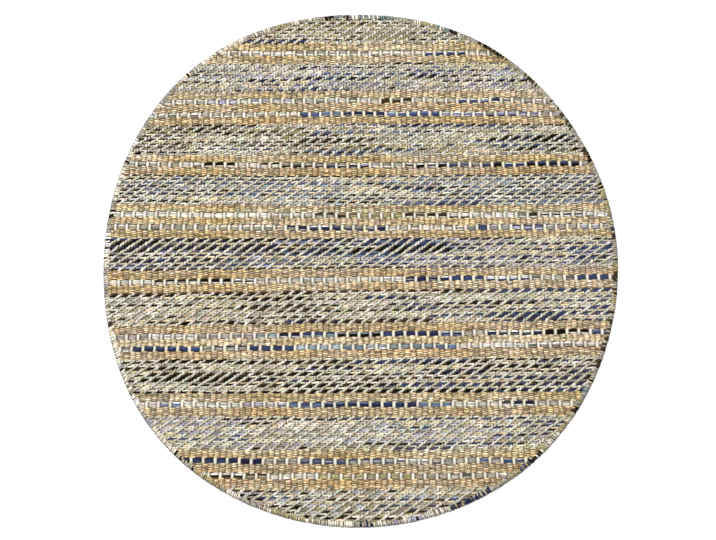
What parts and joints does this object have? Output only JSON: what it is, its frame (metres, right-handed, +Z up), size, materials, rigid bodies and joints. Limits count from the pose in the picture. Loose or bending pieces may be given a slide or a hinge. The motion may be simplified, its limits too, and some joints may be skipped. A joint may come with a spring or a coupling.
{
  "type": "round jute rug",
  "caption": "Flat handwoven round rug of jute, cotton and mixed yarns, with banded weft rows and an overcast edge, lying flat on the floor.",
  "frame": {"origin": "on the floor, under the middle of the rug's bounding box", "axes": "+Z up through the cloth, +X to the right along the weft rows, +Y away from the viewer across the rows"},
  "size_m": [1.1872, 1.1968, 0.009],
  "materials": {
    "rug_weave": "matte handwoven jute and mixed cotton yarns"
  },
  "bodies": {
    "root": {"woven_rug": "rug_weave"}
  },
  "joints": []
}
